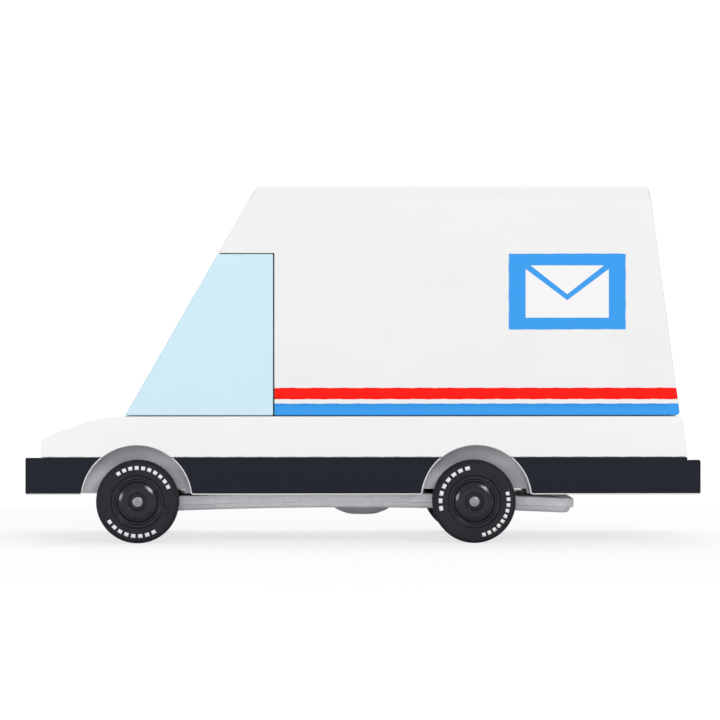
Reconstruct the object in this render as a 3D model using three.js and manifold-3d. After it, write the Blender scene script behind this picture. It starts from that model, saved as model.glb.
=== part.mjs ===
// A palm-size wooden toy mail truck: three painted wooden blocks doweled together, on a die-cast metal chassis
// that carries two steel axles and four tyred wheels. Millimetres, +Z up, nose towards -X, +Y is the far side.
// The origin is on the ground under the middle of the truck.

import * as THREE from "three";
import { mergeVertices } from "three/addons/utils/BufferGeometryUtils.js";
import Module from "manifold-3d";

const wasm = await Module();
wasm.setup();

// ---- Driving dimensions -------------------------------------------------------------------------------------

const LENGTH = 76.2; // bumper face to bumper face
const WIDTH = 33; // across the blocks
const HEIGHT = 40.45; // ground to roof

// Lower block: nose, hood, both bumpers and the wheel pockets
const BLOCK_BOTTOM = 5.5;
const SEAM_Z = 14.4; // where the upper blocks sit on the lower one
const FRONT_BUMPER_TOP = 9.75;
const REAR_BUMPER_TOP = 9.43;
const NOSE_X = -36.4;
const NOSE_ROUND_Z = 11.22; // where the nose starts to round back into the hood
const NOSE_ROUND_PULL_Z = 11.9; // control height of that round
const HOOD_FOOT = [-35.5, 12.22]; // where the nose's round ends and the hood's slope starts
const HOOD_BEND = [-31.6, 13.66]; // where the slope starts to round into the flat top
const HOOD_FLAT_X = -27.7;
const TAIL_TOP_X = 36.05;
const TAIL_FOOT_X = 36.75;
const POCKET_X = { front: -25.6, rear: 12.75 }; // wheel pockets, blind from each side
const POCKET_R = 6.16;
const POCKET_Z = 4.9;
const POCKET_BACK = 11.8; // distance of a pocket's back wall from the middle
const RELIEF_X = { front: [-29.7, -20.2], rear: [6.9, 18.7] }; // grooves that clear the chassis's axle tunnels
const RELIEF_DEPTH = 0.5;
const RELIEF_LENGTH = 24.6; // across the truck, from pocket to pocket

// Upper blocks: the window block stands in a notch of the cargo block
const CAB_FRONT_X = -26.95; // foot of the windscreen slope
const WINDSCREEN_RUN = 0.575; // mm back for each mm up, on both blocks
const CAB_TOP = 32.65;
const CAB_REAR_X = -10.2;
const GLUE_GAP = 0.1;
const ROOF_REAR_X = 32.3;
const CARGO_TAIL_X = 35.8;

// Dowels, all on the middle plane: three stand up from the lower block, one runs back from the window block
const CARGO_DOWEL_R = 3;
const CAB_DOWEL_R = 2;
const DOWEL_GAP = 0.05; // around a dowel
const DOWEL_END_GAP = 0.4; // past each end
const CARGO_DOWEL_X = { front: 5.5, rear: 26.5 };
const CARGO_DOWEL_Z = [8.4, 24.4];
const CAB_LOWER_DOWEL_X = -18.2;
const CAB_LOWER_DOWEL_Z = [9.4, 20.4];
const CAB_REAR_DOWEL_Z = 26.5;
const CAB_REAR_DOWEL_X = [-16.4, -5.2];

// Chassis: a stepped plate with an axle tunnel across each end and a domed boss for its screw. The screw pulls the
// middle up against the wood, and the plate bows down towards both ends.
const CHASSIS_FRONT_X = -29.2;
const CHASSIS_REAR_X = 24.2;
const CHASSIS_HALF_WIDTH = 11.2;
const CHASSIS_CORNER_R = 2;
const CHASSIS_BOTTOM = 3.82; // at the middle of the bow
const STEP_Z = 4.48; // the plate is narrower below this height
const STEP_INSET = 0.4;
const BOW_X = -2;
const BOW_RATE = 0.001; // drop in mm for each square mm away from BOW_X
const BOW_STEPS = 14;
const LAYER_OVERLAP = 0.2; // of the narrow layer into the wide one
const TUNNEL_R = 1.25;
const BOSS_X = 0.2;
const BOSS_BOTTOM = 2.68;
const BOSS_HEIGHT = 1.6;
// Radius and height above BOSS_BOTTOM, from the dome's flat out to its foot
const BOSS_OUTLINE = [[1.4, 0], [2.05, 0.17], [2.65, 0.4], [3.1, 0.66], [3.55, 1.1], [3.75, BOSS_HEIGHT]];

// The screw's head sits in a counterbore of the boss
const SCREW_HEAD_R = 1.12;
const SCREW_HEAD_HEIGHT = 0.8;
const COUNTERBORE_DEPTH = 0.95;
const SCREW_SHANK_R = 0.7;
const SCREW_TOP = 12.2;
const SCREW_GAP = 0.08;

// Running gear
const WHEEL_R = 4.68;
const AXLE_X = { front: -25.5, rear: 12.55 };
const AXLE_R = 0.6;
const AXLE_HALF_LENGTH = 16.05;
const AXLE_RUNNING_GAP = 0.06; // between an axle and its tunnel
const HUB_R = 3;
const HUB_BORE_R = 0.62;
const TYRE_BORE_R = 3.02;
const WHEEL_OUTER = 16.3; // a wheel's two faces, measured from the middle
const WHEEL_INNER = 12.3;
const HUB_FACE = 16.15; // the hub's outer ring, just inside the tyre's face; its dome stands a little proud
const HUB_SPACER = 11.35; // end of the hub's spacer, beside the chassis
const HUB_SPACER_R = 1.1;
const HUB_BACK_INSET = 0.2; // of the hub's back from the tyre's
const HUB_DOME = [[2.6, 0], [2.45, -0.15], [2.2, 0.05], [1.6, 0.22], [1, 0.2]]; // radius, height past HUB_FACE
const HUB_RECESS = [0.92, -0.2]; // around the axle's end
const TYRE_SHOULDER_R = 4.3;
const TYRE_SHOULDER_WIDTH = 0.4;

const WHEEL_SIDES = 36;
const ROUND_SIDES = 24;

// ---- Materials ----------------------------------------------------------------------------------------------

const paint = (color, roughness, metalness = 0) => new THREE.MeshStandardMaterial({ color, roughness, metalness });
const whitePaint = paint(0xf2f2f1, 0.45);
const windowPaint = paint(0xcdeaf8, 0.45);
const bareWood = paint(0xd9b98a, 0.7);
const castZinc = paint(0xb6b6bd, 0.5, 0.8);
const steel = paint(0xb0b1b6, 0.35, 0.9);
const blackPlastic = paint(0x1c1c20, 0.2);
const rubber = paint(0x26272c, 0.8);

// ---- Solids -------------------------------------------------------------------------------------------------

// A geometry as a manifold solid, from its positions alone.
function solid(geometry) {
  const bare = geometry.clone();
  bare.deleteAttribute("normal");
  bare.deleteAttribute("uv");
  const merged = mergeVertices(bare, 1e-4);
  const vertProperties = new Float32Array(merged.attributes.position.array);
  const triVerts = new Uint32Array(merged.index.array);
  return new wasm.Manifold(new wasm.Mesh({ numProp: 3, vertProperties, triVerts }));
}

// A manifold solid as a geometry with flat faces.
function geometryOf(body) {
  const { vertProperties, triVerts } = body.getMesh();
  const geometry = new THREE.BufferGeometry();
  geometry.setAttribute("position", new THREE.BufferAttribute(vertProperties, 3));
  geometry.setIndex(new THREE.BufferAttribute(triVerts, 1));
  const flat = geometry.toNonIndexed();
  flat.computeVertexNormals();
  return flat;
}

// A side outline in X and Z, extruded along Y from y0 to y1.
function acrossSlab(shape, y0, y1) {
  const slab = new THREE.ExtrudeGeometry(shape, { depth: y1 - y0, bevelEnabled: false, curveSegments: 8 });
  return slab.rotateX(Math.PI / 2).translate(0, y1, 0);
}

// A plan outline in X and Y, extruded upwards from z0 to z1.
function uprightSlab(shape, z0, z1) {
  const slab = new THREE.ExtrudeGeometry(shape, { depth: z1 - z0, bevelEnabled: false, curveSegments: 6 });
  return slab.translate(0, 0, z0);
}

function polygon(points) {
  return new THREE.Shape(points.map(([x, y]) => new THREE.Vector2(x, y)));
}

// A rod along Y, with a corner of its outline straight below its axis.
function acrossRod(radius, x, z, y0, y1, sides = ROUND_SIDES) {
  const rod = new THREE.CylinderGeometry(radius, radius, y1 - y0, sides);
  return rod.translate(x, (y0 + y1) / 2, z);
}

function uprightRod(radius, x, z0, z1) {
  const rod = new THREE.CylinderGeometry(radius, radius, z1 - z0, ROUND_SIDES);
  return rod.rotateX(Math.PI / 2).translate(x, 0, (z0 + z1) / 2);
}

const windscreenX = (z) => CAB_FRONT_X + (z - SEAM_Z) * WINDSCREEN_RUN;

// ---- Wooden blocks ------------------------------------------------------------------------------------------

function lowerBlockOutline() {
  const shape = new THREE.Shape();
  const halfLength = LENGTH / 2;
  shape.moveTo(-halfLength, BLOCK_BOTTOM);
  shape.lineTo(halfLength, BLOCK_BOTTOM);
  shape.lineTo(halfLength, REAR_BUMPER_TOP);
  shape.lineTo(TAIL_FOOT_X, REAR_BUMPER_TOP);
  shape.lineTo(TAIL_TOP_X, SEAM_Z);
  shape.lineTo(HOOD_FLAT_X, SEAM_Z);
  shape.quadraticCurveTo((HOOD_BEND[0] + HOOD_FLAT_X) / 2, SEAM_Z, ...HOOD_BEND);
  shape.lineTo(...HOOD_FOOT);
  shape.quadraticCurveTo(NOSE_X, NOSE_ROUND_PULL_Z, NOSE_X, NOSE_ROUND_Z);
  shape.lineTo(NOSE_X, FRONT_BUMPER_TOP);
  shape.lineTo(-halfLength, FRONT_BUMPER_TOP);
  shape.closePath();
  return shape;
}

// A dowel, or with gaps its hole.
function cargoDowel(x, gap = 0, endGap = 0) {
  return uprightRod(CARGO_DOWEL_R + gap, x, CARGO_DOWEL_Z[0] - endGap, CARGO_DOWEL_Z[1] + endGap);
}

function cabLowerDowel(gap = 0, endGap = 0) {
  const [z0, z1] = CAB_LOWER_DOWEL_Z;
  return uprightRod(CAB_DOWEL_R + gap, CAB_LOWER_DOWEL_X, z0 - endGap, z1 + endGap);
}

function cabRearDowel(gap = 0, endGap = 0) {
  const [x0, x1] = CAB_REAR_DOWEL_X;
  const rod = new THREE.CylinderGeometry(CAB_DOWEL_R + gap, CAB_DOWEL_R + gap, x1 - x0 + 2 * endGap, ROUND_SIDES);
  return rod.rotateZ(Math.PI / 2).translate((x0 + x1) / 2, 0, CAB_REAR_DOWEL_Z);
}

function drill(block, holes) {
  return holes.reduce((rest, hole) => rest.subtract(solid(hole)), block);
}

const cargoDowelHoles = Object.values(CARGO_DOWEL_X).map((x) => cargoDowel(x, DOWEL_GAP, DOWEL_END_GAP));
const cabLowerDowelHole = cabLowerDowel(DOWEL_GAP, DOWEL_END_GAP);
const cabRearDowelHole = cabRearDowel(DOWEL_GAP, DOWEL_END_GAP);

function lowerBlock() {
  let block = solid(acrossSlab(lowerBlockOutline(), -WIDTH / 2, WIDTH / 2));
  for (const end of ["front", "rear"]) {
    for (const [y0, y1] of [[-WIDTH, -POCKET_BACK], [POCKET_BACK, WIDTH]]) {
      block = block.subtract(solid(acrossRod(POCKET_R, POCKET_X[end], POCKET_Z, y0, y1, WHEEL_SIDES)));
    }
    const [x0, x1] = RELIEF_X[end];
    const relief = new THREE.BoxGeometry(x1 - x0, RELIEF_LENGTH, 2 * RELIEF_DEPTH);
    block = block.subtract(solid(relief.translate((x0 + x1) / 2, 0, BLOCK_BOTTOM)));
  }
  const screwHole = uprightRod(SCREW_SHANK_R + SCREW_GAP, BOSS_X, BLOCK_BOTTOM - 1, SCREW_TOP + DOWEL_END_GAP);
  return geometryOf(drill(block, [...cargoDowelHoles, cabLowerDowelHole, screwHole]));
}

function cabBlock() {
  const outline = polygon([
    [CAB_FRONT_X, SEAM_Z],
    [CAB_REAR_X, SEAM_Z],
    [CAB_REAR_X, CAB_TOP],
    [windscreenX(CAB_TOP), CAB_TOP],
  ]);
  const block = solid(acrossSlab(outline, -WIDTH / 2, WIDTH / 2));
  return geometryOf(drill(block, [cabLowerDowelHole, cabRearDowelHole]));
}

function cargoBlock() {
  const notchTop = CAB_TOP + GLUE_GAP;
  const outline = polygon([
    [CAB_REAR_X + GLUE_GAP, SEAM_Z],
    [CARGO_TAIL_X, SEAM_Z],
    [ROOF_REAR_X, HEIGHT],
    [windscreenX(HEIGHT), HEIGHT],
    [windscreenX(notchTop), notchTop],
    [CAB_REAR_X + GLUE_GAP, notchTop],
  ]);
  const block = solid(acrossSlab(outline, -WIDTH / 2, WIDTH / 2));
  return geometryOf(drill(block, [...cargoDowelHoles, cabRearDowelHole]));
}

// ---- Chassis and its screw ----------------------------------------------------------------------------------

function roundedPlan(x0, x1, halfWidth, radius) {
  const shape = new THREE.Shape();
  shape.absarc(x1 - radius, halfWidth - radius, radius, 0, Math.PI / 2);
  shape.absarc(x0 + radius, halfWidth - radius, radius, Math.PI / 2, Math.PI);
  shape.absarc(x0 + radius, radius - halfWidth, radius, Math.PI, 1.5 * Math.PI);
  shape.absarc(x1 - radius, radius - halfWidth, radius, 1.5 * Math.PI, 2 * Math.PI);
  shape.closePath();
  return shape;
}

// A side outline between two heights that both follow the chassis's bow.
function bowedOutline(z0, z1) {
  const along = Array.from({ length: BOW_STEPS + 1 }, (_, i) =>
    CHASSIS_FRONT_X + (i / BOW_STEPS) * (CHASSIS_REAR_X - CHASSIS_FRONT_X),
  );
  const bowed = (x, z) => [x, z - BOW_RATE * (x - BOW_X) ** 2];
  return polygon([...along.map((x) => bowed(x, z0)), ...along.reverse().map((x) => bowed(x, z1))]);
}

// One layer of the plate: its plan cut from a bowed slab.
function plateLayer(inset, z0, z1) {
  const plan = roundedPlan(
    CHASSIS_FRONT_X + inset,
    CHASSIS_REAR_X - inset,
    CHASSIS_HALF_WIDTH - inset,
    CHASSIS_CORNER_R - inset,
  );
  const slab = solid(acrossSlab(bowedOutline(z0, z1), -WIDTH / 2, WIDTH / 2));
  return slab.intersect(solid(uprightSlab(plan, 0, SEAM_Z)));
}

// A solid turned about the screw's upright axis from an outline of [radius, height].
function turnedUpright(outline) {
  const turned = new THREE.LatheGeometry(outline.map(([r, z]) => new THREE.Vector2(r, z)), ROUND_SIDES);
  return turned.rotateX(Math.PI / 2).translate(BOSS_X, 0, 0);
}

function chassisScrew() {
  const foot = BOSS_BOTTOM + COUNTERBORE_DEPTH - SCREW_HEAD_HEIGHT;
  const shoulder = BOSS_BOTTOM + COUNTERBORE_DEPTH;
  return turnedUpright([
    [0, foot],
    [SCREW_HEAD_R, foot],
    [SCREW_HEAD_R, shoulder],
    [SCREW_SHANK_R, shoulder],
    [SCREW_SHANK_R, SCREW_TOP],
    [0, SCREW_TOP],
  ]);
}

function chassis() {
  const boss = turnedUpright([
    [0, BOSS_BOTTOM],
    ...BOSS_OUTLINE.map(([r, rise]) => [r, BOSS_BOTTOM + rise]),
    [0, BOSS_BOTTOM + BOSS_HEIGHT],
  ]);
  let body = plateLayer(0, STEP_Z, BLOCK_BOTTOM);
  body = body.add(plateLayer(STEP_INSET, CHASSIS_BOTTOM, STEP_Z + LAYER_OVERLAP));
  body = body.add(solid(boss));
  for (const x of Object.values(AXLE_X)) {
    body = body.add(solid(acrossRod(TUNNEL_R, x, WHEEL_R, -CHASSIS_HALF_WIDTH, CHASSIS_HALF_WIDTH)));
  }
  const axleBores = Object.values(AXLE_X).map((x) =>
    acrossRod(AXLE_R + AXLE_RUNNING_GAP, x, WHEEL_R, -WIDTH / 2, WIDTH / 2),
  );
  const counterbore = uprightRod(SCREW_HEAD_R + SCREW_GAP, BOSS_X, 0, BOSS_BOTTOM + COUNTERBORE_DEPTH);
  const screwHole = uprightRod(SCREW_SHANK_R + SCREW_GAP, BOSS_X, 0, BLOCK_BOTTOM + 1);
  return geometryOf(drill(body, [...axleBores, counterbore, screwHole]));
}

// ---- Running gear, built around the Y axis at the origin ----------------------------------------------------

// A ring turned about the Y axis from a closed profile of [radius, distance from the middle].
function turnedRing(profile, side) {
  const outline = profile.map(([r, y]) => new THREE.Vector2(r, side * y));
  if (side < 0) outline.reverse();
  return new THREE.LatheGeometry([...outline, outline[0].clone()], WHEEL_SIDES);
}

function hubGeometry(side) {
  return turnedRing([
    [HUB_BORE_R, HUB_SPACER],
    [HUB_SPACER_R, HUB_SPACER],
    [HUB_SPACER_R, WHEEL_INNER + HUB_BACK_INSET],
    [HUB_R, WHEEL_INNER + HUB_BACK_INSET],
    [HUB_R, HUB_FACE],
    ...[...HUB_DOME, HUB_RECESS].map(([r, height]) => [r, HUB_FACE + height]),
    [HUB_BORE_R, HUB_FACE + HUB_RECESS[1]],
  ], side);
}

function tyreGeometry(side) {
  return turnedRing([
    [TYRE_BORE_R, WHEEL_INNER],
    [TYRE_SHOULDER_R, WHEEL_INNER],
    [WHEEL_R, WHEEL_INNER + TYRE_SHOULDER_WIDTH],
    [WHEEL_R, WHEEL_OUTER - TYRE_SHOULDER_WIDTH],
    [TYRE_SHOULDER_R, WHEEL_OUTER],
    [TYRE_BORE_R, WHEEL_OUTER],
  ], side);
}

// ---- Assembly -----------------------------------------------------------------------------------------------

const truck = new THREE.Group();

function addPiece(parent, name, geometry, material) {
  const mesh = new THREE.Mesh(geometry, material);
  mesh.name = name;
  parent.add(mesh);
}

addPiece(truck, "lower_body", lowerBlock(), whitePaint);
addPiece(truck, "cab_block", cabBlock(), windowPaint);
addPiece(truck, "cargo_body", cargoBlock(), whitePaint);
for (const [end, x] of Object.entries(CARGO_DOWEL_X)) {
  addPiece(truck, `cargo_dowel_${end}`, cargoDowel(x), bareWood);
}
addPiece(truck, "cab_dowel_lower", cabLowerDowel(), bareWood);
addPiece(truck, "cab_dowel_rear", cabRearDowel(), bareWood);
addPiece(truck, "chassis", chassis(), castZinc);
addPiece(truck, "chassis_screw", chassisScrew(), steel);

for (const [end, x] of Object.entries(AXLE_X)) {
  const wheelset = new THREE.Group();
  wheelset.position.set(x, 0, WHEEL_R);
  addPiece(wheelset, `${end}_axle`, acrossRod(AXLE_R, 0, 0, -AXLE_HALF_LENGTH, AXLE_HALF_LENGTH), steel);
  for (const [side, sign] of [["left", -1], ["right", 1]]) {
    addPiece(wheelset, `${end}_${side}_hub`, hubGeometry(sign), blackPlastic);
    addPiece(wheelset, `${end}_${side}_tyre`, tyreGeometry(sign), rubber);
  }
  truck.add(wheelset);
}

export default truck;
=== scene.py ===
# A palm-size wooden toy mail truck: three painted blocks on a die-cast chassis with rubber-tyred wheels.
# Lengths are in millimetres until a piece is finished.
# The nose points to -X, up is +Z, and -Y is the near side, which is the truck's left.

import math

import bmesh
import bpy
from mathutils import Matrix, Vector


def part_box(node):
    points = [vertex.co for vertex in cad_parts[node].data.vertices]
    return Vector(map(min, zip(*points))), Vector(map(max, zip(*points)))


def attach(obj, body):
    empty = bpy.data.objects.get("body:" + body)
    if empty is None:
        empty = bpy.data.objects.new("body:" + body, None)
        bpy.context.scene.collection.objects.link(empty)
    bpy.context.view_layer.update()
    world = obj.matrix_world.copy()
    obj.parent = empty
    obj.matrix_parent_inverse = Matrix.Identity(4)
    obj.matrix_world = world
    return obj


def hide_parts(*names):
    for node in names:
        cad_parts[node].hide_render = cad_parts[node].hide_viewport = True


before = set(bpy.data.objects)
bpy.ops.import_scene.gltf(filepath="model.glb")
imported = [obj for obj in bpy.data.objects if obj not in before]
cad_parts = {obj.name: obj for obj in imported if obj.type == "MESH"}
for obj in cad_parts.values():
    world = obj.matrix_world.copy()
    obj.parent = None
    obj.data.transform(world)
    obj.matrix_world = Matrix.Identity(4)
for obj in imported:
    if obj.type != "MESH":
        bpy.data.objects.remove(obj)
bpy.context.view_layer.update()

MM = 0.001
WELD = 0.0004  # points closer than this are one point


def cad_corners(node):
    """A CAD node's lowest and highest corners, in millimetres."""
    low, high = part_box(node)
    return Vector(low) / MM, Vector(high) / MM


# ---- Sizes --------------------------------------------------------------------------------------------------

LOWER_LOW, LOWER_HIGH = cad_corners("lower_body")
CAB_LOW, CAB_HIGH = cad_corners("cab_block")
CARGO_LOW, CARGO_HIGH = cad_corners("cargo_body")
CHASSIS_LOW, CHASSIS_HIGH = cad_corners("chassis")
SCREW_LOW, SCREW_HIGH = cad_corners("chassis_screw")
SCREW_X = (SCREW_LOW.x + SCREW_HIGH.x) / 2
SIDE_Y = LOWER_HIGH.y
ENDS = ("front", "rear")
SIDES = {"left": -1, "right": 1}


def axle_centre(end):
    low, high = cad_corners(f"{end}_axle")
    return (low + high) / 2


AXLES = {end: axle_centre(end) for end in ENDS}
AXLE_LOW, AXLE_HIGH = cad_corners("front_axle")
TYRE_LOW, TYRE_HIGH = cad_corners("front_right_tyre")
AXLE_R = (AXLE_HIGH.z - AXLE_LOW.z) / 2
AXLE_END = AXLE_HIGH.y
TYRE_R = AXLES["front"].z
TYRE_FACE = TYRE_HIGH.y
TYRE_BACK = TYRE_LOW.y
HUB_BACK = cad_corners("front_right_hub")[0].y

# Wooden blocks
SEAM_HALF_GAP = 0.055  # the glue line, each way from where the blocks meet
FRONT_BUMPER_TOP = 9.75
REAR_BUMPER_TOP = 9.43
NOSE_X = -36.4  # where the front bumper's top meets the hood
HOOD_CURVE = [
    (-36.4, 11.2), (-36.34, 11.5), (-36.2, 11.74), (-35.95, 11.97), (-35.55, 12.19), (-33.3, 13.03),
    (-31.6, 13.66), (-30.7, 13.93), (-29.85, 14.13), (-29.1, 14.26), (-28.4, 14.32), (-27.7, 14.345),
]
TAIL_FOOT_X = 36.75  # the leaning back, where it meets the rear bumper's top and at the glue line
TAIL_TOP_X = 36.05
POCKET_X = {"front": -25.6, "rear": 12.75}
POCKET_R = 6.16
POCKET_Z = 4.9
POCKET_STEPS = 56
POCKET_FOOT_R = 0.32
POCKET_FOOT_STEPS = 2  # steps of the arch that each rounded foot takes up
POCKET_FOOT_LEAD = 2  # flat underside beside an arch, for the foot's rounding to start from
POCKET_BACK = 11.8  # the pockets' back walls, out from the middle
RELIEF_X = {"front": (-29.7, -20.2), "rear": (6.9, 18.7)}  # grooves over the axle tunnels
RELIEF_DEPTH = 0.5
WINDSCREEN_RUN = 0.575  # how far back the windscreen leans for each millimetre up
NOTCH_TOP = CAB_HIGH.z + 0.1  # the notch in the cargo block, a glue line clear of the cab block
NOTCH_X = CAB_HIGH.x + 0.14
ROOF_REAR_X = 32.3
EDGE_R = 0.14  # sanded edges of the blocks
BUMPER_CORNER_R = 0.28
TAIL_CORNER_R = 0.24
ROOF_FLAT = (1.25, 1.46)  # the sanded flat along each side of the roof: how far in, how far down
ROOF_EDGE_R = 0.45
ROOF_END_R = 0.75
CARGO_TAIL_R = 0.5
BEVEL_SEGMENTS = 6
BLOCK_CREASE = 25  # degrees between faces that meet at a crease

# Printing
INK = 0.02  # its thickness
LONG_RIPPLE = (0.018, 2.1)  # an edge's waver: height, and rate along the edge
SHORT_RIPPLE = (0.014, 5.3)
BAND_TOP = 9.8
BAND_INSET = 0.2  # from the hood's and the back's foot to the first and the last tooth
BAND_PHASE = 0.4
BAND_UNDER = -0.3  # the upward slope of the bumpers' rounded edges where the ink stops, below and above
BAND_OVER = 0.8
BAND_RIM = 0.3  # the sideways slope from which the rim of a bumper's side is inked
FLAT = 0.999  # the sideways slope of a flat side
TOOTH_PITCH = 0.22
TOOTH_HEIGHT = 0.12
TOOTH_X = (0.02, 0.5 * TOOTH_PITCH)  # where a tooth's top starts and stops, and then the gap after it
GAP_X = (0.6 * TOOTH_PITCH, 0.95 * TOOTH_PITCH)
GAP_DROP = 0.6 * TOOTH_HEIGHT
STRIPE_FRONT_X = -10.05
STRIPE_STEPS = 110  # cuts along a stripe, so that its edges can waver
STRIPE_CUTS_END_X = CARGO_HIGH.x - 0.6
STRIPE_SLOPE = 0.6  # the sideways slope down to which the block's side is inked
STRIPE_EDGE_SHIFT = 1.7  # phase between a stripe's two edges
RED_STRIPE = (16.28, 17.56)
BLUE_STRIPE = (14.4, 15.78)
LABEL_X = (16.4, 29.6)
LABEL_Z = (24.15, 32.7)
LABEL_STEPS = 12
ENVELOPE_HALF_WIDTH = 4.7
ENVELOPE_HALF_HEIGHT = 2.95
FLAP_INSET = 0.55
FLAP_TIP_Z = -0.3
ENVELOPE_FRONT_DROP = 0.4
ENVELOPE_FRONT_DIP_Z = -0.98
DASH_R = (3.64, 4.06)
DASH_RUNS = {  # first and last angle, anticlockwise from the right as each side is seen, and the dashes between
    "front": ((23, 127, 10), (212, 302, 8)),
    "rear": ((98, 195, 8), (-77, 17, 10)),
}
DASH_FILL = 0.62  # a dash's share of its pitch
DASH_STEPS = 4

# Chassis
STEP_Z = 4.48
STEP_INSET = 0.4
PLATE_BOTTOM = 3.82
PLATE_FOOT_R = 0.62
PLATE_RIM_R = 0.1
PLATE_RIM_ANGLE = 60  # edges sharper than this many degrees are rims
PLATE_TOP = 5.5
PLATE_CORNER_R = 2
PLATE_CORNER_STEPS = 8
CAST_EDGE_SEGMENTS = 4
BOW_X = -2
BOW_RATE = 0.001
BOW_STEPS = 26
TUNNEL_R = 1.25
TUNNEL_EDGE_R = 0.12
TUNNEL_BORE_EDGE_R = 0.05
TUNNEL_STEPS = 48
RUNNING_GAP = 0.06
BOSS_BOTTOM = 2.68
BOSS_TOP = PLATE_BOTTOM + 0.6  # inside the plate
BOSS_CURVE = [  # radius, and height over the boss's flat foot
    (1.4, 0), (1.75, 0.06), (2.05, 0.17), (2.37, 0.28), (2.65, 0.4), (2.9, 0.52), (3.1, 0.66), (3.36, 0.87),
    (3.55, 1.1), (3.75, 1.6),
]
WELL_DEPTH = 0.95
WELL_CHAMFER = 0.06
SCREW_GAP = 0.08
SCREW_HEAD_R = 1.12
SCREW_HEAD_HEIGHT = 0.8
SCREW_HEAD_CURVE = [(0, 0.02), (0.5, 0.03), (0.8, 0.08), (1.0, 0.18), (1.09, 0.32), (SCREW_HEAD_R, 0.45)]
SCREW_HEAD_CHAMFER = 0.05
SCREW_SHANK_R = 0.7
SCREW_TIP_R = 0.08
SCREW_TIP_LENGTH = 1.2
CROSS_ARM = (1.3, 0.3, 1.1)  # length, width and height
CROSS_TAPER = (0.4, 0.7, 1)  # the same, at an arm's deep end
METAL_CREASE = 40

# Running gear, with distances out from the middle of the truck
AXLE_EDGE = 0.07  # the rounding of an axle's end, and the middle of that rounding
AXLE_EDGE_MIDDLE = 0.02
AXLE_STEPS = 40
WHEEL_STEPS = 96
WHEEL_CREASE = 50
HUB_FACE = 16.15
HUB_BACK_RIM = TYRE_BACK + 0.2
HUB_RECESS_FLOOR = HUB_FACE - 0.6
HUB_BORE_R = 0.62
HUB_COLLAR_R = 1.1
HUB_R = 2.99
HUB_PROFILE = [  # radius, distance out and corner radius
    (HUB_BORE_R, HUB_BACK, 0), (HUB_COLLAR_R, HUB_BACK, 0.06), (HUB_COLLAR_R, HUB_BACK_RIM, 0.1),
    (HUB_R, HUB_BACK_RIM, 0.08), (HUB_R, HUB_FACE, 0.05), (2.92, HUB_FACE, 0.02),
    (2.9, HUB_FACE - 0.045, 0.015), (2.86, HUB_FACE - 0.045, 0.015), (2.84, HUB_FACE, 0.02),
    (2.62, HUB_FACE, 0.06), (2.52, HUB_FACE - 0.16, 0.05), (2.36, HUB_FACE - 0.16, 0.06),
    (2.16, HUB_FACE + 0.04, 0.25), (1.72, HUB_FACE + 0.215, 0.8), (1.1, HUB_FACE + 0.2, 0.05),
    (1.02, HUB_FACE + 0.14, 0.04), (0.96, HUB_RECESS_FLOOR, 0.03), (HUB_BORE_R, HUB_RECESS_FLOOR, 0),
]
TYRE_BORE_R = 3.01
TYRE_PROFILE = [
    (TYRE_BORE_R, TYRE_BACK, 0.08), (4.3, TYRE_BACK, 0.3), (TYRE_R, TYRE_BACK + 0.4, 0.35),
    (TYRE_R, TYRE_FACE - 0.4, 0.35), (4.32, TYRE_FACE, 0.3), (TYRE_BORE_R, TYRE_FACE, 0.08),
]


# ---- Finishes -----------------------------------------------------------------------------------------------

NOISE_LOW = 0.3  # most of a noise's values lie between these two
NOISE_HIGH = 0.7


def add_node(tree, kind, inputs=None, **settings):
    node = tree.nodes.new(kind)
    for name, value in settings.items():
        setattr(node, name, value)
    for name, value in (inputs or {}).items():
        if isinstance(value, bpy.types.NodeSocket):
            tree.links.new(value, node.inputs[name])
        else:
            node.inputs[name].default_value = value
    return node


class Finish:
    """A material whose patterns lie on a piece's own coordinates."""

    def __init__(self, name, color, roughness, metallic=0.0, specular=0.5):
        self.material = bpy.data.materials.new(name)
        self.material.use_nodes = True
        self.tree = self.material.node_tree
        self.shader = self.tree.nodes["Principled BSDF"]
        self.shader.inputs["Base Color"].default_value = (*color, 1)
        self.shader.inputs["Roughness"].default_value = roughness
        self.shader.inputs["Metallic"].default_value = metallic
        self.shader.inputs["Specular IOR Level"].default_value = specular
        self.coordinates = add_node(self.tree, "ShaderNodeTexCoord").outputs["Object"]

    def noise(self, per_mm, detail=3.0, roughness=0.55):
        """Noise with this many features to a millimetre along each axis."""
        scale = [n / MM for n in per_mm]
        mapping = add_node(self.tree, "ShaderNodeMapping", {"Vector": self.coordinates, "Scale": scale})
        values = {"Vector": mapping.outputs["Vector"], "Scale": 1.0, "Detail": detail, "Roughness": roughness}
        return add_node(self.tree, "ShaderNodeTexNoise", values).outputs["Fac"]

    def tint(self, noise, dark, light):
        """Base colour from dark to light."""
        ramp = add_node(self.tree, "ShaderNodeValToRGB", {"Fac": noise})
        stops = ((NOISE_LOW, dark), (NOISE_HIGH, light))
        for element, (position, color) in zip(ramp.color_ramp.elements, stops):
            element.position = position
            element.color = (*color, 1)
        self.tree.links.new(ramp.outputs["Color"], self.shader.inputs["Base Color"])

    def gloss(self, noise, low, high):
        """Roughness from low to high."""
        values = {"Value": noise, "From Min": NOISE_LOW, "From Max": NOISE_HIGH, "To Min": low, "To Max": high}
        result = add_node(self.tree, "ShaderNodeMapRange", values).outputs["Result"]
        self.tree.links.new(result, self.shader.inputs["Roughness"])

    def relief(self, *layers):
        """Bumps, each of a value and its depth in millimetres."""
        normal = None
        for value, depth in layers:
            values = {"Height": value, "Distance": depth * MM, "Strength": 1.0}
            if normal is not None:
                values["Normal"] = normal
            normal = add_node(self.tree, "ShaderNodeBump", values).outputs["Normal"]
        self.tree.links.new(normal, self.shader.inputs["Normal"])


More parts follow.
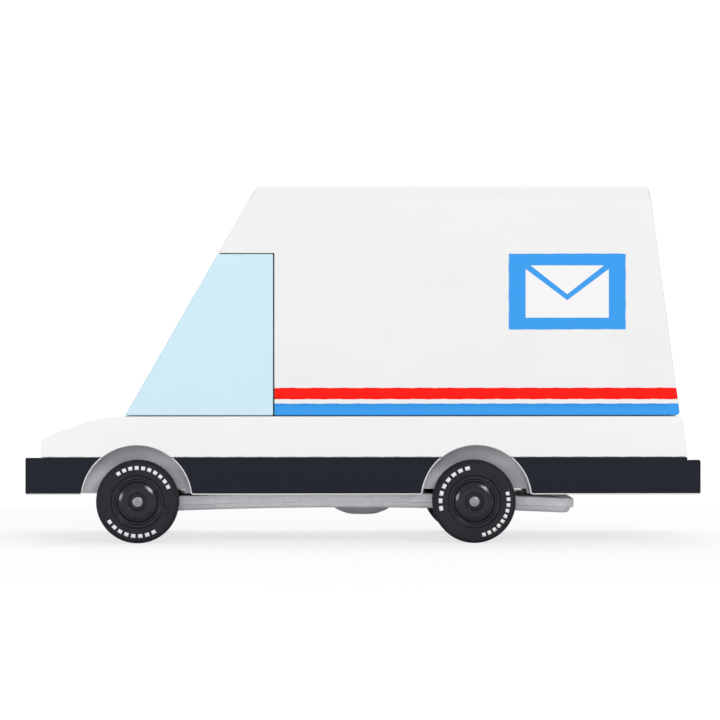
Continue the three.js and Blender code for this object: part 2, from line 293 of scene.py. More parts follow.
def painted_wood(name, light, dark):
    finish = Finish(name, light, 0.45)
    grain = finish.noise((0.12, 4.5, 4.5), 4.0, 0.6)
    peel = finish.noise((2.4, 2.4, 2.4), 2.0)
    mottling = finish.noise((0.09, 0.16, 0.16), 2.0)
    finish.tint(mottling, dark, light)
    finish.gloss(peel, 0.4, 0.52)
    finish.relief((grain, 0.006), (peel, 0.004))
    return finish.material


def printed_ink(name, color, roughness=0.5, specular=0.35):
    finish = Finish(name, color, roughness, specular=specular)
    screen = finish.noise((3.2, 3.2, 3.2), 2.0)
    finish.gloss(screen, roughness - 0.07, roughness + 0.08)
    finish.relief((screen, 0.003))
    return finish.material


def cast_zinc():
    finish = Finish("cast_zinc", (0.88, 0.88, 0.92), 0.42, metallic=0.2)
    skin = finish.noise((1.1, 1.1, 1.1), 4.0, 0.6)
    pits = finish.noise((6.5, 6.5, 6.5), 3.0, 0.6)
    finish.tint(skin, (0.82, 0.82, 0.86), (0.92, 0.92, 0.96))
    finish.gloss(pits, 0.36, 0.54)
    finish.relief((skin, 0.03), (pits, 0.012))
    return finish.material


def plated_steel():
    finish = Finish("plated_steel", (0.42, 0.42, 0.44), 0.35, metallic=1.0)
    lathe = finish.noise((9.0, 0.9, 9.0), 3.0)
    finish.tint(lathe, (0.36, 0.36, 0.38), (0.5, 0.5, 0.52))
    finish.gloss(lathe, 0.28, 0.46)
    finish.relief((lathe, 0.006))
    return finish.material


def black_hub_plastic():
    finish = Finish("black_hub_plastic", (0.009, 0.009, 0.018), 0.17)
    moulding = finish.noise((1.6, 1.6, 1.6), 2.0)
    finish.gloss(moulding, 0.13, 0.21)
    finish.relief((moulding, 0.003))
    return finish.material


def tyre_rubber():
    finish = Finish("tyre_rubber", (0.014, 0.015, 0.021), 0.68, specular=0.3)
    bloom = finish.noise((0.5, 0.5, 0.5), 3.0)
    skin = finish.noise((7.0, 7.0, 7.0), 3.0)
    finish.tint(bloom, (0.012, 0.013, 0.019), (0.018, 0.019, 0.026))
    finish.gloss(skin, 0.6, 0.76)
    finish.relief((skin, 0.008))
    return finish.material


def bare_wood():
    finish = Finish("bare_wood", (0.69, 0.49, 0.26), 0.6)
    fibres = finish.noise((4.0, 4.0, 0.25), 4.0, 0.6)
    rings = finish.noise((0.9, 0.3, 0.08), 2.0)
    finish.tint(rings, (0.58, 0.38, 0.19), (0.76, 0.57, 0.33))
    finish.gloss(fibres, 0.52, 0.7)
    finish.relief((fibres, 0.02))
    return finish.material


# ---- Modelling ----------------------------------------------------------------------------------------------


def faces_in(result):
    return [item for item in result["geom"] if isinstance(item, bmesh.types.BMFace)]


def thicken(bm, faces, offset):
    """Extrudes a flat sheet into a solid and returns the faces at the far end."""
    result = bmesh.ops.extrude_face_region(bm, geom=faces)
    moved = [item for item in result["geom"] if isinstance(item, bmesh.types.BMVert)]
    bmesh.ops.translate(bm, vec=offset, verts=moved)
    return faces_in(result)


def push(bm, faces, offset):
    """Moves faces of a solid out by offset, with new walls behind them, and returns them."""
    moved = thicken(bm, faces, offset)
    bmesh.ops.delete(bm, geom=faces, context="FACES_ONLY")
    return moved


def side_face(bm, outline, y):
    return bm.faces.new([bm.verts.new((x, y, z)) for x, z in outline])


def cut_away(bm, point, normal):
    """Cuts off what lies beyond a plane, on the side that normal points to."""
    everything = [*bm.verts, *bm.edges, *bm.faces]
    bmesh.ops.bisect_plane(bm, geom=everything, plane_co=point, plane_no=normal, clear_outer=True)


def score(bm, x):
    """Cuts every face at x and keeps both parts."""
    everything = [*bm.verts, *bm.edges, *bm.faces]
    bmesh.ops.bisect_plane(bm, geom=everything, plane_co=(x, 0, 0), plane_no=(1, 0, 0))


def new_object(name, bm, *materials):
    """An object at the origin made from a bmesh, which it uses up."""
    mesh = bpy.data.meshes.new(name)
    bm.to_mesh(mesh)
    bm.free()
    mesh.materials.clear()
    for material in materials:
        mesh.materials.append(material)
    item = bpy.data.objects.new(name, mesh)
    bpy.context.scene.collection.objects.link(item)
    return item


def make_piece(name, bm, material, body, crease):
    """Finishes a bmesh in millimetres as a piece that rides on body, with creases from this many degrees."""
    bmesh.ops.remove_doubles(bm, verts=bm.verts, dist=WELD)
    bmesh.ops.recalc_face_normals(bm, faces=bm.faces)
    for face in bm.faces:
        face.smooth = True
    for edge in bm.edges:
        if len(edge.link_faces) == 2:
            edge.smooth = edge.calc_face_angle() < math.radians(crease)
    bmesh.ops.scale(bm, vec=(MM, MM, MM), verts=bm.verts)
    piece = new_object(name, bm, material)
    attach(piece, body)
    return piece


def round_edges(bm, radius_of):
    """Weighs each edge for the Bevel modifier and returns the largest radius."""
    weight = bm.edges.layers.float.new("bevel_weight_edge")
    largest = max(radius_of(edge) for edge in bm.edges)
    for edge in bm.edges:
        edge[weight] = radius_of(edge) / largest
    return largest


def add_bevel(piece, radius):
    bevel = piece.modifiers.new("sanded_edges", "BEVEL")
    bevel.limit_method = "WEIGHT"
    bevel.width = radius * MM
    bevel.segments = BEVEL_SEGMENTS
    bevel.profile = 0.5
    bevel.material = -1
    bevel.harden_normals = True
    bevel.use_clamp_overlap = False


def even_normals(piece):
    piece.modifiers.new("flat_faces", "WEIGHTED_NORMAL").keep_sharp = True


def surface_of(piece):
    """A bmesh of a finished piece's skin, in millimetres."""
    evaluated = piece.evaluated_get(bpy.context.evaluated_depsgraph_get())
    bm = bmesh.new()
    bm.from_mesh(evaluated.to_mesh())
    evaluated.to_mesh_clear()
    bmesh.ops.scale(bm, vec=(1 / MM, 1 / MM, 1 / MM), verts=bm.verts)
    bm.normal_update()
    return bm


def keep_faces(bm, wanted):
    unwanted = [face for face in bm.faces if not wanted(face)]
    bmesh.ops.delete(bm, geom=unwanted, context="FACES")


def add_ink(name, bm, material, body="body"):
    """Lays a sheet of ink on the skin that it was cut from."""
    for face in bm.faces:
        face.smooth = True
    bmesh.ops.scale(bm, vec=(MM, MM, MM), verts=bm.verts)
    piece = new_object(name, bm, material)
    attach(piece, body)
    layer = piece.modifiers.new("ink_layer", "SOLIDIFY")
    layer.thickness = INK * MM
    layer.offset = 1.0
    even_normals(piece)


def rounded_profile(points, steps=6):
    """A closed outline with its corners rounded, from points of two distances and a corner radius."""
    profile = []
    count = len(points)
    for index, (r, y, corner) in enumerate(points):
        here = Vector((r, y))
        if corner == 0:
            profile.append(here)
            continue
        before = Vector(points[index - 1][:2]) - here
        after = Vector(points[(index + 1) % count][:2]) - here
        half = before.angle(after) / 2
        reach = min(corner / math.tan(half), before.length * 0.49, after.length * 0.49)
        start = here + before.normalized() * reach
        stop = here + after.normalized() * reach
        centre = here + (before.normalized() + after.normalized()).normalized() * (reach / math.cos(half))
        turn = (start - centre).angle_signed(stop - centre)
        for step in range(steps + 1):
            arm = (start - centre).copy()
            arm.rotate(Matrix.Rotation(-turn * step / steps, 2))
            profile.append(centre + arm)
    return profile


def spin_profile(bm, points, centre, axis, steps, closed=False):
    """Spins a chain of points a full turn about an axis through centre."""
    verts = [bm.verts.new(point) for point in points]
    first = 0 if closed else 1
    edges = [bm.edges.new((verts[i - 1], verts[i])) for i in range(first, len(verts))]
    bmesh.ops.spin(
        bm, geom=[*verts, *edges], cent=centre, axis=axis, dvec=(0, 0, 0), angle=2 * math.pi, steps=steps,
        use_merge=True,
    )


def turn_ring(bm, profile, centre, side, steps):
    """Turns a closed profile of (radius, distance from the middle) about an axle."""
    points = [(centre.x + r, side * y, centre.z) for r, y in profile]
    spin_profile(bm, points, (centre.x, 0, centre.z), (0, 1, 0), steps, closed=True)


def turn_upright(bm, profile, x, steps=48):
    """Turns an open profile of (radius, height) about an upright axis at x."""
    spin_profile(bm, [(x + r, 0, z) for r, z in profile], (x, 0, 0), (0, 0, 1), steps)
    bmesh.ops.remove_doubles(bm, verts=bm.verts, dist=WELD)


# ---- Wooden blocks ------------------------------------------------------------------------------------------


def windscreen_x(z):
    return CAB_LOW.x + (z - CAB_LOW.z) * WINDSCREEN_RUN


def pocket_arc(end):
    """A wheel pocket's opening, with its two feet rounded out into the underside."""
    x = POCKET_X[end]
    bottom = LOWER_LOW.z
    foot = math.asin((bottom - POCKET_Z) / POCKET_R)
    angles = [math.pi - foot - i * (math.pi - 2 * foot) / POCKET_STEPS for i in range(POCKET_STEPS + 1)]
    arc = [(x + POCKET_R * math.cos(a), POCKET_Z + POCKET_R * math.sin(a), 0) for a in angles]
    first = (*arc[0][:2], POCKET_FOOT_R)
    last = (*arc[-1][:2], POCKET_FOOT_R)
    arch = arc[POCKET_FOOT_STEPS:-POCKET_FOOT_STEPS]
    reach = POCKET_R + POCKET_FOOT_LEAD
    opening = rounded_profile([(x - reach, bottom, 0), first, *arch, last, (x + reach, bottom, 0)])
    return [(point.x, point.y) for point in opening[1:-1]]


def round_rim(bm, faces, radius, steps=5):
    """Rounds the edge round a flat end by drawing it in and raising it in small steps."""
    reach = 0
    rise = 0
    for step in range(1, steps + 1):
        angle = math.radians(90 * step / steps)
        next_reach = radius * (1 - math.cos(angle))
        next_rise = radius * math.sin(angle)
        bmesh.ops.inset_region(
            bm, faces=faces, thickness=next_reach - reach, depth=next_rise - rise, use_boundary=True,
            use_even_offset=True,
        )
        reach = next_reach
        rise = next_rise


def in_pocket(place):
    """Whether a place is inside a wheel pocket or on its walls."""
    if abs(place.y) < POCKET_BACK - WELD or abs(place.y) > SIDE_Y - EDGE_R:
        return False
    return any(math.hypot(place.x - x, place.z - POCKET_Z) < POCKET_R + WELD for x in POCKET_X.values())


def make_lower_body(material, pocket_shade_material):
    top = LOWER_HIGH.z - SEAM_HALF_GAP
    bottom = LOWER_LOW.z
    corners = [
        (LOWER_LOW.x, bottom, BUMPER_CORNER_R),
        *[(x, z, 0) for x, z in pocket_arc("front") + pocket_arc("rear")],
        (LOWER_HIGH.x, bottom, BUMPER_CORNER_R),
        (LOWER_HIGH.x, REAR_BUMPER_TOP, BUMPER_CORNER_R),
        (TAIL_FOOT_X, REAR_BUMPER_TOP, 0),
        (TAIL_TOP_X, top, TAIL_CORNER_R),
        *[(x, z, 0) for x, z in reversed(HOOD_CURVE)],
        (NOSE_X, FRONT_BUMPER_TOP, 0),
        (LOWER_LOW.x, FRONT_BUMPER_TOP, BUMPER_CORNER_R),
    ]
    bm = bmesh.new()
    side_face(bm, rounded_profile(corners), -POCKET_BACK)
    groove = bottom + RELIEF_DEPTH
    for end, (left, right) in RELIEF_X.items():
        relief = [(right, bottom), (right, groove), (left, groove), (left, bottom)]
        side_face(bm, [*pocket_arc(end), *relief], -POCKET_BACK)
    bmesh.ops.remove_doubles(bm, verts=bm.verts, dist=WELD)
    near = max(bm.faces, key=lambda face: face.calc_area())
    far_faces = thicken(bm, bm.faces[:], (0, 2 * POCKET_BACK, 0))
    far = max(far_faces, key=lambda face: face.calc_area())
    depth = SIDE_Y - EDGE_R - POCKET_BACK
    ends = push(bm, [near], (0, -depth, 0)) + push(bm, [far], (0, depth, 0))
    bmesh.ops.recalc_face_normals(bm, faces=bm.faces)
    for end in ends:
        round_rim(bm, [end], EDGE_R)
    piece = make_piece("painted_lower_body", bm, material, "body", BLOCK_CREASE)
    # The faces inside the wheel pockets take a darker grey-blue copy of the white paint: painted shade for the
    # recesses.
    piece.data.materials.append(pocket_shade_material)
    for polygon in piece.data.polygons:
        if in_pocket(polygon.center / MM):
            polygon.material_index = 1
    even_normals(piece)
    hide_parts("lower_body")
    return piece


def corner_key(x, z):
    return round(x, 2), round(z, 2)


def sand_roof(bm, roof_z):
    """Cuts a narrow, nearly upright flat along both long edges of the roof."""
    inset, drop = ROOF_FLAT
    for side in SIDES.values():
        cut_away(bm, (0, side * SIDE_Y, roof_z - drop), (0, side * drop, inset))
        bmesh.ops.holes_fill(bm, edges=[edge for edge in bm.edges if edge.is_boundary])


def make_upper_block(name, node, corners, roof_z, material):
    """A block whose side outline is corners of (x, z, radius of the edge across the truck)."""
    across = {corner_key(x, z): radius for x, z, radius in corners}
    bm = bmesh.new()
    face = side_face(bm, [(x, z) for x, z, radius in corners], -SIDE_Y)
    thicken(bm, [face], (0, 2 * SIDE_Y, 0))
    if roof_z:
        sand_roof(bm, roof_z)

    def radius_of(edge):
        start, stop = (vert.co for vert in edge.verts)
        if corner_key(start.x, start.z) == corner_key(stop.x, stop.z):
            return across[corner_key(start.x, start.z)]
        if roof_z and min(start.z, stop.z) > roof_z - ROOF_FLAT[1] - WELD:
            return ROOF_EDGE_R
        return EDGE_R

    radius = round_edges(bm, radius_of)
    piece = make_piece(name, bm, material, "body", BLOCK_CREASE)
    add_bevel(piece, radius)
    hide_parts(node)
    return piece


def make_cab_block(material):
    bottom = CAB_LOW.z + SEAM_HALF_GAP
    top = CAB_HIGH.z
    corners = [
        (windscreen_x(bottom), bottom, EDGE_R),
        (CAB_HIGH.x, bottom, EDGE_R),
        (CAB_HIGH.x, top, EDGE_R),
        (windscreen_x(top), top, EDGE_R),
    ]
    make_upper_block("painted_cab_block", "cab_block", corners, None, material)


def make_cargo_body(material):
    bottom = CARGO_LOW.z + SEAM_HALF_GAP
    top = CARGO_HIGH.z
    corners = [
        (NOTCH_X, bottom, EDGE_R),
        (CARGO_HIGH.x, bottom, CARGO_TAIL_R),
        (ROOF_REAR_X, top, ROOF_END_R),
        (windscreen_x(top), top, ROOF_END_R),
        (windscreen_x(NOTCH_TOP), NOTCH_TOP, EDGE_R),
        (NOTCH_X, NOTCH_TOP, 0),
    ]
    return make_upper_block("painted_cargo_body", "cargo_body", corners, top, material)


# ---- Printing on the blocks ---------------------------------------------------------------------------------


def wave(x, phase):
    """The slight waver of a hand-masked edge."""
    long_height, long_rate = LONG_RIPPLE
    short_height, short_rate = SHORT_RIPPLE
    return long_height * math.sin(long_rate * x + phase) + short_height * math.sin(short_rate * x + 2 * phase)


def outward_face(bm, outline, side, y):
    face = side_face(bm, outline, side * y)
    face.normal_update()
    if face.normal.y * side < 0:
        face.normal_flip()


def both_sides(outlines, y):
    """A bmesh of outlines of (x, z) lying on both sides of the truck, facing out."""
    bm = bmesh.new()
    for side in SIDES.values():
        for outline in outlines:
            outward_face(bm, outline, side, y)
    return bm


def in_band(face):
    """Whether a face of the lower body is on a flat side, on a bumper's end or on a bumper's side rim."""
    centre = face.calc_center_median()
    normal = face.normal
    on_end = abs(centre.x) > LOWER_HIGH.x - BUMPER_CORNER_R - WELD and BAND_UNDER < normal.z < BAND_OVER
    on_side = abs(normal.y) > FLAT and abs(centre.y) > SIDE_Y - WELD
    on_bumper = centre.x < NOSE_X or centre.x > TAIL_FOOT_X
    on_rim = on_bumper and 0 < normal.z < BAND_OVER and abs(normal.y) > BAND_RIM
    return on_side or on_end or on_rim


def teeth(low, high):
    """The outline of a row of fine teeth between two places along the band."""
    foot = BAND_TOP - TOOTH_HEIGHT
    gap = BAND_TOP - GAP_DROP
    outline = [(low, foot)]
    for index in range(int((high - low) / TOOTH_PITCH)):
        x = low + index * TOOTH_PITCH
        top = BAND_TOP + wave(x, BAND_PHASE)
        outline.extend((x + offset, top) for offset in TOOTH_X)
        outline.extend((x + offset, gap) for offset in GAP_X)
    outline.append((high, foot))
    return outline


def print_band(block, ink):
    """The black band round the bumpers, up to a finely toothed edge on both sides."""
    bm = surface_of(block)
    keep_faces(bm, in_band)
    cut_away(bm, (0, 0, BAND_TOP - TOOTH_HEIGHT), (0, 0, 1))
    reach = math.sqrt(POCKET_R**2 - (BAND_TOP - POCKET_Z) ** 2) + EDGE_R
    starts = [NOSE_X + BAND_INSET, *[x + reach for x in POCKET_X.values()]]
    stops = [*[x - reach for x in POCKET_X.values()], TAIL_FOOT_X - BAND_INSET]
    for side in SIDES.values():
        for low, high in zip(starts, stops):
            outward_face(bm, teeth(low, high), side, SIDE_Y)
    add_ink("printed_band", bm, ink)


def print_stripe(name, block, heights, ink, phase):
    """A colour stripe round both sides of a block, with slightly wavering edges."""
    bm = surface_of(block)
    low, high = heights
    keep_faces(bm, lambda face: abs(face.normal.y) > STRIPE_SLOPE)
    cut_away(bm, (0, 0, high), (0, 0, 1))
    cut_away(bm, (0, 0, low), (0, 0, -1))
    cut_away(bm, (STRIPE_FRONT_X, 0, 0), (-1, 0, 0))
    for index in range(1, STRIPE_STEPS):
        score(bm, STRIPE_FRONT_X + index * (STRIPE_CUTS_END_X - STRIPE_FRONT_X) / STRIPE_STEPS)
    for vert in bm.verts:
        for edge_z, shift in ((high, phase), (low, phase + STRIPE_EDGE_SHIFT)):
            if abs(vert.co.z - edge_z) < WELD:
                vert.co.z += wave(vert.co.x, shift)
    add_ink(name, bm, ink)


def print_label(blue, white):
    """A blue rectangle with a plain white envelope on it: a flap over a front with a dip."""
    x0, x1 = LABEL_X
    z0, z1 = LABEL_Z
    xs = [x0 + (x1 - x0) * i / LABEL_STEPS for i in range(LABEL_STEPS)]
    zs = [z0 + (z1 - z0) * i / LABEL_STEPS for i in range(LABEL_STEPS)]
    outline = [
        *[(x, z0 + wave(x, 0.3)) for x in xs],
        *[(x1 + wave(z, 1.1), z) for z in zs],
        *[(x0 + x1 - x, z1 + wave(x, 2.2)) for x in xs],
        *[(x0 + wave(z, 0.7), z0 + z1 - z) for z in zs],
    ]
    add_ink("printed_label", both_sides([outline], SIDE_Y), blue)
    centre_x = (x0 + x1) / 2
    centre_z = (z0 + z1) / 2
    width = ENVELOPE_HALF_WIDTH
    height = ENVELOPE_HALF_HEIGHT
    shoulder = height - ENVELOPE_FRONT_DROP
    flap = [(0, FLAP_TIP_Z), (width - FLAP_INSET, height), (FLAP_INSET - width, height)]
    front = [
        (-width, -height), (width, -height), (width, shoulder), (0, ENVELOPE_FRONT_DIP_Z), (-width, shoulder),
    ]
    envelope = [[(centre_x + x, centre_z + z) for x, z in part] for part in (flap, front)]
    add_ink("printed_envelope", both_sides(envelope, SIDE_Y + INK), white)


# ---- Chassis ------------------------------------------------------------------------------------------------


def plate_plan():
    """The plate from above, with round corners."""
    right = CHASSIS_HIGH.x - PLATE_CORNER_R
    left = CHASSIS_LOW.x + PLATE_CORNER_R
    half = CHASSIS_HIGH.y - PLATE_CORNER_R
    plan = []
    for x, y, start in ((right, half, 0), (left, half, 90), (left, -half, 180), (right, -half, 270)):
        for step in range(PLATE_CORNER_STEPS + 1):
            angle = math.radians(start + 90 * step / PLATE_CORNER_STEPS)
            plan.append((x + PLATE_CORNER_R * math.cos(angle), y + PLATE_CORNER_R * math.sin(angle)))
    return plan


def round_cast_edges(bm, edges, radius):
    bmesh.ops.bevel(
        bm, geom=edges, offset=radius, offset_type="OFFSET", affect="EDGES", segments=CAST_EDGE_SEGMENTS,
        profile=0.5, material=-1, clamp_overlap=False,
    )


def cast_plate():
    """The stepped plate, with its edges rounded, bowed down towards its ends."""
    bm = bmesh.new()
    bm.faces.new([bm.verts.new((x, y, PLATE_TOP)) for x, y in plate_plan()])
    step = thicken(bm, bm.faces[:], (0, 0, STEP_Z - PLATE_TOP))
    bmesh.ops.recalc_face_normals(bm, faces=bm.faces)
    bmesh.ops.inset_region(bm, faces=step, thickness=STEP_INSET, use_even_offset=True)
    push(bm, step, (0, 0, PLATE_BOTTOM - STEP_Z))
    bmesh.ops.recalc_face_normals(bm, faces=bm.faces)
    foot = [edge for edge in bm.edges if max(vert.co.z for vert in edge.verts) < PLATE_BOTTOM + WELD]
    round_cast_edges(bm, foot, PLATE_FOOT_R)
    sharp = math.radians(PLATE_RIM_ANGLE)
    rims = [edge for edge in bm.edges if edge.is_manifold and edge.calc_face_angle() > sharp]
    round_cast_edges(bm, rims, PLATE_RIM_R)
    for index in range(1, BOW_STEPS):
        score(bm, CHASSIS_LOW.x + index * (CHASSIS_HIGH.x - CHASSIS_LOW.x) / BOW_STEPS)
    for vert in bm.verts:
        vert.co.z -= BOW_RATE * (vert.co.x - BOW_X) ** 2
    return bm


def add_tunnel(bm, axle):
    """An axle's tunnel, as a ring set across the plate, which is left whole inside it."""
    bore = AXLE_R + RUNNING_GAP
    half = CHASSIS_HIGH.y
    profile = rounded_profile([
        (bore, -half, TUNNEL_BORE_EDGE_R), (TUNNEL_R, -half, TUNNEL_EDGE_R), (TUNNEL_R, half, TUNNEL_EDGE_R),
        (bore, half, TUNNEL_BORE_EDGE_R),
    ], 3)
    turn_ring(bm, profile, axle, 1, TUNNEL_STEPS)


def add_boss(bm):
    """The domed boss in the middle, with a well for the screw's head. The plate over it is left whole."""
    hole = SCREW_SHANK_R + SCREW_GAP
    well = SCREW_HEAD_R + SCREW_GAP
    well_top = BOSS_BOTTOM + WELL_DEPTH
    turn_upright(bm, [
        (hole, BOSS_TOP), (hole, well_top), (well, well_top), (well, BOSS_BOTTOM + WELL_CHAMFER),
        (well + WELL_CHAMFER, BOSS_BOTTOM), *[(r, BOSS_BOTTOM + rise) for r, rise in BOSS_CURVE],
        (BOSS_CURVE[-1][0], BOSS_TOP), (hole, BOSS_TOP),
    ], SCREW_X)


def make_chassis(material):
    bm = cast_plate()
    for axle in AXLES.values():
        add_tunnel(bm, axle)
    add_boss(bm)
    piece = make_piece("cast_chassis", bm, material, "body", METAL_CREASE)
    even_normals(piece)
    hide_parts("chassis")


def make_screw(material):
    foot = SCREW_LOW.z
    shoulder = foot + SCREW_HEAD_HEIGHT
    bm = bmesh.new()
    turn_upright(bm, [
        *[(r, foot + rise) for r, rise in SCREW_HEAD_CURVE], (SCREW_HEAD_R, shoulder - SCREW_HEAD_CHAMFER),
        (SCREW_HEAD_R - SCREW_HEAD_CHAMFER, shoulder), (SCREW_SHANK_R, shoulder),
        (SCREW_SHANK_R, SCREW_HIGH.z - SCREW_TIP_LENGTH), (SCREW_TIP_R, SCREW_HIGH.z), (0, SCREW_HIGH.z),
    ], SCREW_X)
    piece = make_piece("screw", bm, material, "body", METAL_CREASE)
    cut_cross(piece)
    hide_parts("chassis_screw")


def cut_cross(piece):
    """Cuts a tapered cross into the screw's head."""
    bm = bmesh.new()
    for angle in (0, math.pi / 2):
        arm = bmesh.ops.create_cube(bm, size=1)["verts"]
        bmesh.ops.scale(bm, vec=CROSS_ARM, verts=arm)
        deep_end = [vert for vert in arm if vert.co.z > 0]
        bmesh.ops.scale(bm, vec=CROSS_TAPER, verts=deep_end)
        bmesh.ops.rotate(bm, matrix=Matrix.Rotation(angle, 3, "Z"), verts=arm)
        bmesh.ops.translate(bm, vec=(SCREW_X, 0, SCREW_LOW.z), verts=arm)
    bmesh.ops.recalc_face_normals(bm, faces=bm.faces)
    bmesh.ops.scale(bm, vec=(MM, MM, MM), verts=bm.verts)
    cutter = new_object("cross_cutter", bm)
    cut = piece.modifiers.new("cross", "BOOLEAN")
    cut.operation = "DIFFERENCE"
    cut.solver = "EXACT"
    cut.use_self = True
    cut.object = cutter
    evaluated = piece.evaluated_get(bpy.context.evaluated_depsgraph_get())
    finished = bpy.data.meshes.new_from_object(evaluated)
    piece.modifiers.clear()
    piece.data = finished
    bpy.data.objects.remove(cutter)


# ---- Running gear -------------------------------------------------------------------------------------------


def make_axle(end, material):
    centre = AXLES[end]
    tip = [
        (0, 0), (AXLE_R - AXLE_EDGE, 0), (AXLE_R - AXLE_EDGE_MIDDLE, AXLE_EDGE_MIDDLE), (AXLE_R, AXLE_EDGE),
    ]
    profile = [(r, depth - AXLE_END) for r, depth in tip]
    profile += [(r, AXLE_END - depth) for r, depth in reversed(tip)]
    bm = bmesh.new()
    spin_profile(bm, [(centre.x + r, y, centre.z) for r, y in profile], centre, (0, 1, 0), AXLE_STEPS)
    piece = make_piece(f"{end}_steel_axle", bm, material, f"{end}_wheelset", WHEEL_CREASE)
    even_normals(piece)
    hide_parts(f"{end}_axle")


def make_wheel(end, side_name, plastic, rubber, ink):
    centre = AXLES[end]
    side = SIDES[side_name]
    body = f"{end}_wheelset"
    bm = bmesh.new()
    turn_ring(bm, rounded_profile(HUB_PROFILE, 5), centre, side, WHEEL_STEPS)
    hub = make_piece(f"{end}_{side_name}_wheel_hub", bm, plastic, body, WHEEL_CREASE)
    even_normals(hub)
    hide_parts(f"{end}_{side_name}_hub")
    bm = bmesh.new()
    turn_ring(bm, rounded_profile(TYRE_PROFILE, 6), centre, side, WHEEL_STEPS)
    tyre = make_piece(f"{end}_{side_name}_rubber_tyre", bm, rubber, body, WHEEL_CREASE)
    even_normals(tyre)
    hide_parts(f"{end}_{side_name}_tyre")
    print_dashes(end, side_name, ink)


def print_dashes(end, side_name, ink):
    """Two runs of plain dashes round the tyre's outer face."""
    centre = AXLES[end]
    side = SIDES[side_name]
    inner, outer = DASH_R
    bm = bmesh.new()
    for start, stop, count in DASH_RUNS[end]:
        pitch = (stop - start) / (count - 1 + DASH_FILL)
        for index in range(count):
            first = start + index * pitch
            arc = [math.radians(first + pitch * DASH_FILL * i / DASH_STEPS) for i in range(DASH_STEPS + 1)]
            dash = [(outer, angle) for angle in arc] + [(inner, angle) for angle in reversed(arc)]
            outline = [(centre.x - side * r * math.cos(a), centre.z + r * math.sin(a)) for r, a in dash]
            outward_face(bm, outline, side, TYRE_FACE)
    add_ink(f"{end}_{side_name}_tyre_dashes", bm, ink, f"{end}_wheelset")


# ---- Studio -------------------------------------------------------------------------------------------------

PLAIN_WHITE = 1.1
WORLD_LIGHT = 0.5
FLOOR_HALF = 4  # metres, as in the fade
FLOOR_FADE = (0.08, 0.6)  # how far from the truck the floor starts to turn plain white, and is
FLOOR_GLOW = 0.72
FLOOR_SEEN = 0.27
FLOOR_LIT = 0.74
CAMERA_AT = (-13.6, -586.5, 27.3)
CAMERA_AIM = (-0.4, -16.5, 20.7)
LENS = 252.75
CLIP_START = 0.05
SENSOR_WIDTH = 36
NEAR_SIDE = (0, -16, 12)
LIGHTS = [  # name, place, target, size, watts, whether it shows in reflections
    ("overhead", (0, 280, 540), (0, 0, 15), 480, 1.5, True),
    ("behind", (0, 640, 70), (0, 0, 10), 300, 1.1, True),
    ("upper_right", (300, -560, 330), NEAR_SIDE, 180, 1.25, True),
    ("left", (-460, -520, 120), NEAR_SIDE, 160, 0.68, True),
    ("front", (-30, -600, 60), NEAR_SIDE, 160, 0.68, False),
]


def aim(item, place, target):
    item.location = Vector(place) * MM
    direction = (Vector(target) - Vector(place)).normalized()
    item.rotation_euler = direction.to_track_quat("-Z", "Y").to_euler()


def add_light(name, place, target, size, power, in_reflections):
    light = bpy.data.lights.new(name, "AREA")
    light.shape = "SQUARE"
    light.size = size * MM
    light.energy = power
    item = bpy.data.objects.new(name, light)
    item.visible_glossy = in_reflections
    bpy.context.scene.collection.objects.link(item)
    aim(item, place, target)


def add_surroundings():
    """An even white studio, plain white where the camera looks past the floor."""
    world = bpy.data.worlds.new("studio")
    world.use_nodes = True
    bpy.context.scene.world = world
    tree = world.node_tree
    tree.nodes.clear()
    white = (1, 1, 1, 1)
    seen = add_node(tree, "ShaderNodeBackground", {"Color": white, "Strength": PLAIN_WHITE})
    around = add_node(tree, "ShaderNodeBackground", {"Color": white, "Strength": WORLD_LIGHT})
    path = add_node(tree, "ShaderNodeLightPath")
    mix = add_node(tree, "ShaderNodeMixShader", {
        "Fac": path.outputs["Is Camera Ray"], 1: around.outputs["Background"], 2: seen.outputs["Background"],
    })
    add_node(tree, "ShaderNodeOutputWorld", {"Surface": mix.outputs["Shader"]})


def pale_floor():
    """White paper, a little brighter to the camera than it lights the truck, and plain white far off."""
    material = bpy.data.materials.new("pale_floor")
    material.use_nodes = True
    tree = material.node_tree
    tree.nodes.clear()
    place = add_node(tree, "ShaderNodeTexCoord").outputs["Object"]
    distance = add_node(tree, "ShaderNodeVectorMath", {0: place}, operation="LENGTH").outputs["Value"]
    near, far = FLOOR_FADE
    values = {"Value": distance, "From Min": near, "From Max": far, "To Min": FLOOR_GLOW, "To Max": PLAIN_WHITE}
    strength = add_node(tree, "ShaderNodeMapRange", values).outputs["Result"]
    glow = add_node(tree, "ShaderNodeEmission", {"Color": (1, 1, 1, 1), "Strength": strength})
    seen = add_node(tree, "ShaderNodeBsdfDiffuse", {"Color": (FLOOR_SEEN, FLOOR_SEEN, FLOOR_SEEN, 1)})
    lit = add_node(tree, "ShaderNodeBsdfDiffuse", {"Color": (FLOOR_LIT, FLOOR_LIT, FLOOR_LIT, 1)})
    both = add_node(tree, "ShaderNodeAddShader", {0: glow.outputs["Emission"], 1: seen.outputs["BSDF"]})
    path = add_node(tree, "ShaderNodeLightPath")
    mix = add_node(tree, "ShaderNodeMixShader", {
        "Fac": path.outputs["Is Camera Ray"], 1: lit.outputs["BSDF"], 2: both.outputs["Shader"],
    })
    add_node(tree, "ShaderNodeOutputMaterial", {"Surface": mix.outputs["Shader"]})
    return material


def add_floor():
    bm = bmesh.new()
    bmesh.ops.create_grid(bm, x_segments=2, y_segments=2, size=FLOOR_HALF)
    new_object("floor", bm, pale_floor())


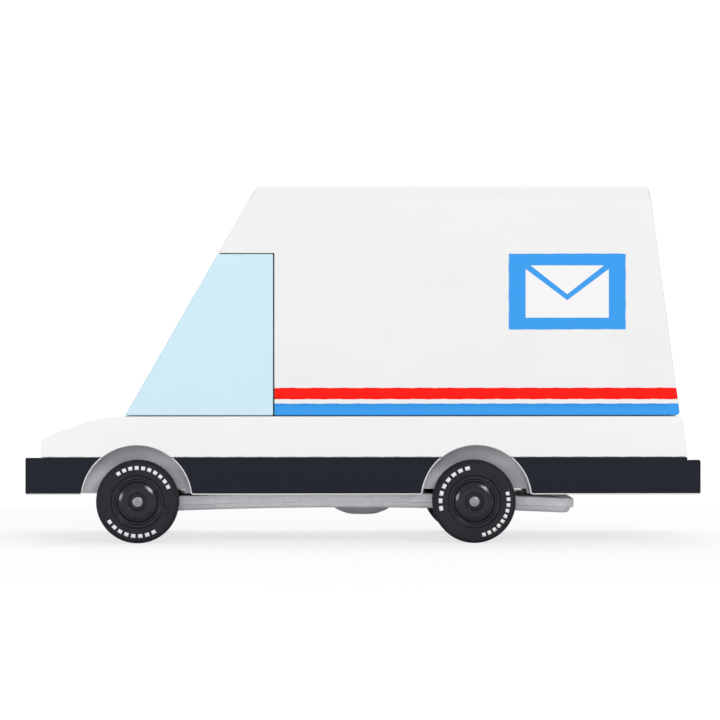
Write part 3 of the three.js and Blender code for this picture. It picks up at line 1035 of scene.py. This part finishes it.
def add_camera():
    camera = bpy.data.objects.new("camera", bpy.data.cameras.new("camera"))
    camera.data.sensor_width = SENSOR_WIDTH
    camera.data.lens = LENS
    camera.data.clip_start = CLIP_START
    bpy.context.scene.collection.objects.link(camera)
    bpy.context.scene.camera = camera
    aim(camera, CAMERA_AT, CAMERA_AIM)


# ---- The truck ----------------------------------------------------------------------------------------------

add_camera()
add_floor()
add_surroundings()
for light in LIGHTS:
    add_light(*light)
bpy.context.scene.view_settings.view_transform = "Standard"

body_paint = painted_wood("body_paint", (0.87, 0.87, 0.865), (0.85, 0.85, 0.845))
# The cargo block's white is a darker copy of the body's white: painted shade that evens out the stronger light
# falling on the upper block.
cargo_shaded_paint = painted_wood("cargo_shaded_paint", (0.835, 0.835, 0.83), (0.815, 0.815, 0.81))
# The pockets' grey-blue is painted shade: the body's white paint darkened where the wheel pockets lie in shade.
pocket_shade_paint = painted_wood("pocket_shade_paint", (0.76, 0.755, 0.8), (0.67, 0.665, 0.705))
window_paint = painted_wood("window_paint", (0.6, 0.8, 0.89), (0.585, 0.785, 0.88))
black_ink = printed_ink("black_ink", (0.009, 0.011, 0.019), 0.55, 0.2)
red_ink = printed_ink("red_ink", (0.96, 0.008, 0.003), specular=0.15)
blue_ink = printed_ink("blue_ink", (0.044, 0.327, 0.825), specular=0.15)
white_ink = printed_ink("white_ink", (0.86, 0.86, 0.86))
zinc = cast_zinc()
steel = plated_steel()
plastic = black_hub_plastic()
rubber = tyre_rubber()
dowel_wood = bare_wood()

lower_body = make_lower_body(body_paint, pocket_shade_paint)
make_cab_block(window_paint)
cargo_body = make_cargo_body(cargo_shaded_paint)
print_band(lower_body, black_ink)
print_stripe("printed_red_stripe", cargo_body, RED_STRIPE, red_ink, 0.0)
print_stripe("printed_blue_stripe", cargo_body, BLUE_STRIPE, blue_ink, 2.6)
print_label(blue_ink, white_ink)
make_chassis(zinc)
make_screw(steel)
for end in ENDS:
    make_axle(end, steel)
    for side_name in SIDES:
        make_wheel(end, side_name, plastic, rubber, white_ink)
for dowel in ("cargo_dowel_front", "cargo_dowel_rear", "cab_dowel_lower", "cab_dowel_rear"):
    for material_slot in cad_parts[dowel].material_slots:
        material_slot.material = dowel_wood
